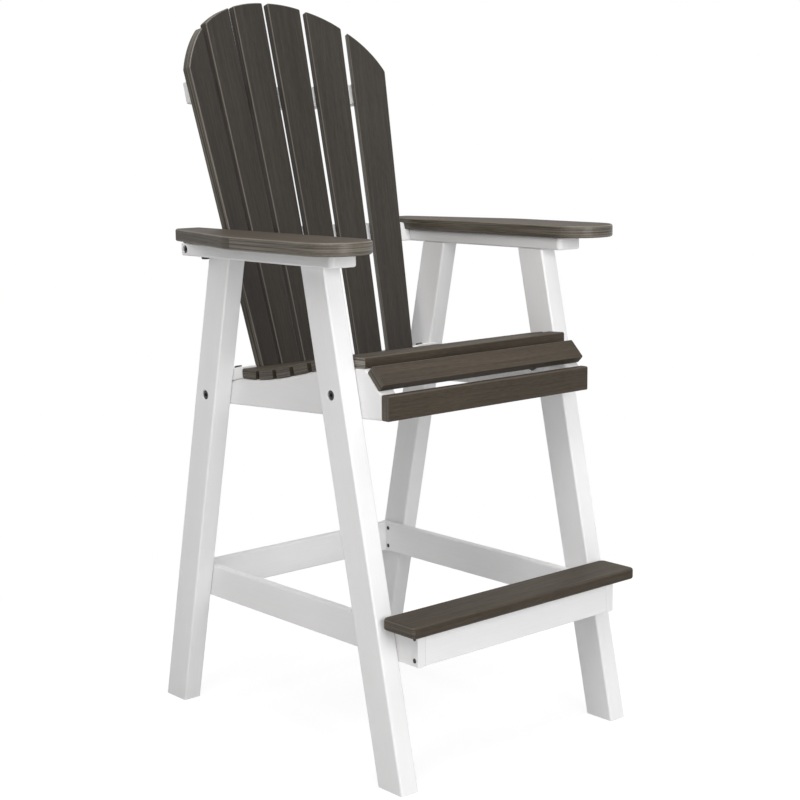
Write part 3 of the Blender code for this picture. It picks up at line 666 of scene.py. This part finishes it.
def add_hardware():
    """Models each kind of fastener once and puts it at its nodes, its head facing outwards."""
    out = {side: X * sign for side, sign in SIDES.items()}
    seat_bolts = {f"seat_bolt_{end}_{side}": out[side] for end in ENDS for side in SIDES}
    nuts = {f"seat_nut_{end}_{side}": -out[side] for end in ENDS for side in SIDES}
    arm_bolts = {f"arm_bolt_{side}": out[side] for side in SIDES}
    flush = {f"stretcher_screw_{row}_{side}": out[side] for row in SCREW_ROWS for side in SIDES}
    for end in ENDS:
        flush |= {f"{end}_leg_screw_{row}_{side}": -out[side] for row in SCREW_ROWS for side in SIDES}
    arm_screws = {f"arm_screw_{side}": -Z for side in SIDES}
    brace_up = Vector((0, math.sin(LOWER_BRACE_SLOPE), math.cos(LOWER_BRACE_SLOPE)))
    brace_screws = {f"brace_screw_{side}": brace_up for side in SIDES}

    def length_of(places):
        node, outwards = next(iter(places.items()))
        return length_along(node, outwards)

    seat_bolt = model_bolt("seat_bolt", SEAT_BOLT_HEAD_RADIUS, SEAT_BOLT_RADIUS, length_of(seat_bolts))
    place_copies(seat_bolt, seat_bolts)
    arm_bolt = model_bolt("arm_bolt", ARM_BOLT_HEAD_RADIUS, ARM_BOLT_RADIUS, length_of(arm_bolts))
    place_copies(arm_bolt, arm_bolts)
    place_copies(model_nut("seat_nut", length_of(nuts), SEAT_BOLT_RADIUS + RECESS_PLAY), nuts)
    head = FLUSH_HEAD_RADIUS, FLUSH_HEAD_HEIGHT
    place_copies(model_screw("flush_screw", *head, FLUSH_RADIUS, length_of(flush), FLUSH_EDGE), flush)
    head = WASHER_HEAD_RADIUS, WASHER_HEAD_HEIGHT
    for places in (arm_screws, brace_screws):
        screw = model_screw("washer_screw", *head, WASHER_RADIUS, length_of(places), WASHER_EDGE)
        place_copies(screw, places)


# Finishes
class Link:
    """An output of a finish's nodes; sums and products of links and numbers add Math nodes."""

    def __init__(self, socket):
        self.socket = socket
        self.tree = socket.id_data

    def node(self, kind, settings, sockets, output=0):
        """Adds a node of a type: its settings first, then the values or links of its sockets."""
        made = self.tree.nodes.new("ShaderNode" + kind)
        for name, value in settings.items():
            setattr(made, name, value)
        feed(made, sockets)
        return Link(made.outputs[output])

    def reckon(self, operation, first, second):
        return self.node("Math", {"operation": operation}, {0: first, 1: second})

    def __add__(self, other):
        return self.reckon("ADD", self, other)

    def __radd__(self, other):
        return self.reckon("ADD", other, self)

    def __sub__(self, other):
        return self.reckon("SUBTRACT", self, other)

    def __mul__(self, other):
        return self.reckon("MULTIPLY", self, other)

    def __rmul__(self, other):
        return self.reckon("MULTIPLY", other, self)

    def between(self, low, high):
        """Share from 0 at a low value to 1 at a high one."""
        return self.node("MapRange", {}, {"Value": self, "From Min": low, "From Max": high})

    def noise(self, stretch, detail):
        """Noise on a vector, with so many grains to the metre along each axis."""
        spread = self.node("VectorMath", {"operation": "MULTIPLY"}, {0: self, 1: stretch})
        return self.node("TexNoise", {}, {"Vector": spread, "Scale": 1.0, "Detail": detail})

    def blend(self, first, second):
        """Colour between two colours, with this value as the share of the second."""
        return self.node("Mix", {"data_type": "RGBA"}, {0: self, 6: first, 7: second}, 2)

    def relief(self, strength, distance):
        """Bumps whose height is this value."""
        return self.node("Bump", {}, {"Strength": strength, "Distance": distance, "Height": self})

    def attribute(self, name, output="Fac"):
        return self.node("Attribute", {"attribute_name": name}, {}, output)


def feed(node, sockets):
    """Sets or links a node's sockets."""
    for name, value in sockets.items():
        if isinstance(value, Link):
            node.id_data.links.new(value.socket, node.inputs[name])
        else:
            node.inputs[name].default_value = value


def start_finish(name):
    """A material with its shader, and a link from which its nodes are added."""
    finish = bpy.data.materials.new(name)
    finish.use_nodes = True
    shader = finish.node_tree.nodes["Principled BSDF"]
    return finish, shader, Link(shader.outputs[0])


def grain_noises(start, noises):
    """Noises on a board's own grain, by name."""
    grain = start.attribute("grain", "Vector")
    return {name: grain.noise(*noise) for name, noise in noises.items()}


def weighed(values, shares):
    """Sum of some values, each with its share."""
    return functools.reduce(operator.add, [share * values[name] for name, share in shares.items()])


def colour(red, green, blue):
    return (red, green, blue, 1.0)


def grey(value):
    return colour(value, value, value)


# Brown boards: a noise has its grains to the metre along, across and through a board, and its detail
BROWN_NOISES = {
    "clouds": ((1.6, 16, 16), 2),
    "streaks": ((4, 150, 150), 3),
    "fibres": ((9, 430, 430), 2),
    "brushing": ((22, 1100, 1100), 2),
    "flecks": ((55, 420, 420), 3),
    "stripes": ((4, 4, 560), 2),
}
BROWN_TONE = {"streaks": 0.3, "clouds": 0.2, "fibres": 0.2, "flecks": 0.3}
BROWN_TONE_RANGE = (0.39, 0.61)
WARM_BROWN = colour(0.027, 0.0205, 0.0140), colour(0.057, 0.0445, 0.0310)
# The second pair is a darker, cooler brown painted as shade on the back slats.
PAINTED_SHADE_BROWN = colour(0.0190, 0.0162, 0.0133), colour(0.0355, 0.0302, 0.0250)
SAW_TONE = {"stripes": 0.75, "brushing": 0.25}
SAW_TONE_RANGE = (0.41, 0.60)
SAWN_BROWN = colour(0.036, 0.030, 0.023), colour(0.320, 0.290, 0.236)
SAWN_GLOSS = 0.2
SAWN_COAT = 0.8
SAWN_COAT_ROUGHNESS = 0.25
# Edge colour: partly wear, partly a painted highlight where rounded edges catch the light.
EDGE_WEAR_AND_HIGHLIGHT_BROWN = colour(0.20, 0.178, 0.145)
EDGE_WEAR_AND_HIGHLIGHT_SHARE = 0.6
RUBBED_GLOSS = 0.2
EMBOSSING = {"brushing": 0.4, "fibres": 0.3, "streaks": 0.3}
BROWN_RELIEF = {"strength": 0.35, "distance": 0.0006}
BROWN_ROUGHNESS = 0.5
BROWN_BRUSHED_ROUGHNESS = 0.2
BROWN_SPECULAR = 0.2


def make_brown():
    """Embossed grey-brown board: streaks along the grain, pale saw stripes on its cut faces, edges
    partly worn and partly a painted highlight, and a darker, cooler brown painted as shade.
    """
    finish, shader, start = start_finish("brown_board")
    cut = start.attribute("cut")
    edge = start.attribute("edge")
    noises = grain_noises(start, BROWN_NOISES)
    tone = weighed(noises, BROWN_TONE).between(*BROWN_TONE_RANGE)
    # A board's shade share blends its skin towards the darker, cooler brown painted as shade.
    skin = start.attribute("painted_shade").blend(tone.blend(*WARM_BROWN), tone.blend(*PAINTED_SHADE_BROWN))
    sawn = weighed(noises, SAW_TONE).between(*SAW_TONE_RANGE).blend(*SAWN_BROWN)
    # Edge faces lighten towards a colour that is partly wear and partly painted highlight.
    with_edge_wear_and_highlight = (edge * EDGE_WEAR_AND_HIGHLIGHT_SHARE).blend(cut.blend(skin, sawn), EDGE_WEAR_AND_HIGHLIGHT_BROWN)
    embossing = weighed(noises, EMBOSSING)
    height = embossing + cut * (noises["stripes"] - embossing)
    brushed = BROWN_ROUGHNESS + BROWN_BRUSHED_ROUGHNESS * noises["brushing"]
    rough = brushed - RUBBED_GLOSS * edge - SAWN_GLOSS * cut
    feed(shader, {"Base Color": with_edge_wear_and_highlight, "Roughness": rough, "Normal": height.relief(**BROWN_RELIEF)})
    feed(shader, {"Specular IOR Level": BROWN_SPECULAR})
    feed(shader, {"Coat Weight": SAWN_COAT * cut, "Coat Roughness": SAWN_COAT_ROUGHNESS})
    return finish


# White boards
WHITE_NOISES = {"clouds": ((3, 12, 12), 3), "brushing": ((14, 520, 520), 3)}
WHITE_TONE = {"clouds": 0.6, "brushing": 0.4}
WHITE_TONE_RANGE = (0.35, 0.65)
CLEAN_WHITE = grey(0.79), colour(0.83, 0.83, 0.835)
WORN_WHITE = colour(0.74, 0.74, 0.735)
WORN_EDGE_SHARE = 0.15
WORN_CUT_SHARE = 0.05
WHITE_RELIEF = {"strength": 0.12, "distance": 0.0004}
WHITE_ROUGHNESS = 0.38
WHITE_BRUSHED_ROUGHNESS = 0.18


def make_white():
    """Satin white board with a faint grain, a little greyer in patches and along worn edges."""
    finish, shader, start = start_finish("white_board")
    edge = start.attribute("edge")
    cut = start.attribute("cut")
    noises = grain_noises(start, WHITE_NOISES)
    skin = weighed(noises, WHITE_TONE).between(*WHITE_TONE_RANGE).blend(*CLEAN_WHITE)
    worn = (WORN_EDGE_SHARE * edge + WORN_CUT_SHARE * cut).blend(skin, WORN_WHITE)
    relief = noises["brushing"].relief(**WHITE_RELIEF)
    rough = WHITE_ROUGHNESS + WHITE_BRUSHED_ROUGHNESS * noises["brushing"]
    feed(shader, {"Base Color": worn, "Roughness": rough, "Normal": relief})
    return finish


# Steel: each noise has its grains to the metre along each axis, and its detail
STEEL_MOTTLE = ((420, 420, 420), 3)
STEEL_SCUFFS = ((1500, 1500, 1500), 2)
SCUFF_RANGE = (0.62, 0.72)
SCUFF_SHARE = 0.5
BLACK_COAT = colour(0.030, 0.030, 0.031), colour(0.085, 0.085, 0.088)
BARE_STEEL = colour(0.35, 0.34, 0.33)
STEEL_RELIEF = {"strength": 0.1, "distance": 0.0002}
STEEL_ROUGHNESS = 0.28
STEEL_MOTTLED_ROUGHNESS = 0.25
STEEL_METALLIC = 0.75


def make_steel():
    """Black-coated steel, scuffed to bare metal in specks."""
    finish, shader, start = start_finish("black_steel")
    place = start.node("TexCoord", {}, {}, "Object")
    mottle = place.noise(*STEEL_MOTTLE)
    scuffs = place.noise(*STEEL_SCUFFS).between(*SCUFF_RANGE)
    skin = (SCUFF_SHARE * scuffs).blend(mottle.blend(*BLACK_COAT), BARE_STEEL)
    rough = STEEL_ROUGHNESS + STEEL_MOTTLED_ROUGHNESS * mottle
    feed(shader, {"Base Color": skin, "Roughness": rough, "Normal": mottle.relief(**STEEL_RELIEF)})
    feed(shader, {"Metallic": STEEL_METALLIC})
    return finish


WHITE = make_white()
BROWN = make_brown()
STEEL = make_steel()

add_legs()
add_arm_rails()
add_armrests()
add_stretchers()
add_footrest()
add_seat_slats()
add_back_slats()
add_curved_boards()
add_hardware()

# Camera at the photograph's viewing angle
CAMERA_PLACE = Vector((-2.1692, -2.5079, 1.2061))
CAMERA_TURN = math.radians(-41.267)
CAMERA_RISE = math.radians(9.451)
CAMERA_ROLL = math.radians(-0.544)
CAMERA_LENS = 73.71
CAMERA_SENSOR = 36


def add_camera():
    camera = bpy.data.cameras.new("camera")
    camera.lens = CAMERA_LENS
    camera.sensor_width = CAMERA_SENSOR
    holder = add_object("camera", camera)
    level = math.cos(CAMERA_RISE)
    aside = math.sin(CAMERA_TURN) * level
    behind = -math.cos(CAMERA_TURN) * level
    back = Vector((aside, behind, math.sin(CAMERA_RISE)))
    right = Z.cross(back).normalized()
    upright = Matrix((right, back.cross(right), back)).transposed().to_4x4()
    roll = Matrix.Rotation(CAMERA_ROLL, 4, "Z")
    holder.matrix_world = Matrix.Translation(CAMERA_PLACE) @ upright @ roll
    bpy.context.scene.camera = holder


# Studio: the lamps have their places, sizes, powers and tints
FLOOR_REACH = 12.0
FLOOR_DROP = 0.0005
FLOOR_BOUNCE = grey(0.62)
FLOOR_ROUGHNESS = 0.9
FLOOR_PALE = grey(0.25)
FLOOR_GLOW = 0.82
SHADOW_REACH = (0.7, 1.3)
WORLD_LIGHT = 0.24
PURE_WHITE = grey(1.0)
PLAIN_LIGHT = (1.0, 1.0, 1.0)
WARM_LIGHT = (1.0, 0.972, 0.96)
LAMP_AIM = Vector((0, 0, 0.7))
LAMPS = {
    "front": (Vector((-0.6, -4.0, 1.7)), 2.2, 84, PLAIN_LIGHT),
    "left": (Vector((-2.6, -1.4, 3.4)), 2.0, 46, WARM_LIGHT),
    "strip": (Vector((-2.7, -1.27, 1.4)), 0.8, 8, WARM_LIGHT),
    "above": (Vector((0, -0.4, 4.2)), 3.0, 110, PLAIN_LIGHT),
    "rear": (Vector((2.8, 2.8, 2.2)), 2.5, 30, PLAIN_LIGHT),
}
LAMPS_WITHOUT_GLINT = ("rear",)


def seen_directly(start):
    """1 for what the camera sees, also in a reflection or through glass, and else 0."""
    camera = start.node("LightPath", {}, {}, "Is Camera Ray")
    glossy = start.node("LightPath", {}, {}, "Is Glossy Ray")
    through = start.node("LightPath", {}, {}, "Is Transmission Ray")
    return (camera + glossy + through).between(0, 1)


def add_floor():
    """Pale floor that looks white, with the chair's faint shadow around its feet."""
    bpy.ops.object.select_all(action="DESELECT")
    bpy.ops.mesh.primitive_plane_add(size=2 * FLOOR_REACH, location=(0, 0, -FLOOR_DROP))
    floor = apply_place(bpy.context.object, "studio_floor")
    finish, shader, start = start_finish("studio_floor")
    feed(shader, {"Base Color": FLOOR_BOUNCE, "Roughness": FLOOR_ROUGHNESS, "Specular IOR Level": 0.0})
    pale = start.node("BsdfDiffuse", {}, {"Color": FLOOR_PALE})
    glow = start.node("Emission", {}, {"Color": PURE_WHITE, "Strength": FLOOR_GLOW})
    shaded = start.node("AddShader", {}, {0: pale, 1: glow})
    white = start.node("Emission", {}, {"Color": PURE_WHITE, "Strength": 1.0})
    place = start.node("TexCoord", {}, {}, "Object")
    distance = start.node("VectorMath", {"operation": "LENGTH"}, {0: place}, "Value")
    shown = start.node("MixShader", {}, {0: distance.between(*SHADOW_REACH), 1: shaded, 2: white})
    mixed = start.node("MixShader", {}, {0: seen_directly(start), 1: start, 2: shown})
    feed(finish.node_tree.nodes["Material Output"], {"Surface": mixed})
    floor.data.materials.append(finish)


def add_world():
    """Even fill light, with a white backdrop for the camera."""
    world = bpy.data.worlds.new("studio")
    bpy.context.scene.world = world
    world.use_nodes = True
    background = world.node_tree.nodes["Background"]
    feed(background, {"Color": PURE_WHITE, "Strength": WORLD_LIGHT})
    fill = Link(background.outputs[0])
    white = fill.node("Background", {}, {"Color": PURE_WHITE, "Strength": 1.0})
    mixed = fill.node("MixShader", {}, {0: seen_directly(fill), 1: fill, 2: white})
    feed(world.node_tree.nodes["World Output"], {"Surface": mixed})


def add_lamps():
    """Square lamps that face the chair."""
    for name, (place, size, power, tint) in LAMPS.items():
        lamp = bpy.data.lights.new(name, "AREA")
        lamp.shape = "SQUARE"
        lamp.size = size
        lamp.energy = power
        lamp.color = tint
        holder = add_object(name, lamp)
        holder.matrix_world = facing(place - LAMP_AIM, place)
        holder.visible_glossy = name not in LAMPS_WITHOUT_GLINT


add_camera()
add_floor()
add_world()
add_lamps()
bpy.context.scene.view_settings.view_transform = "Standard"
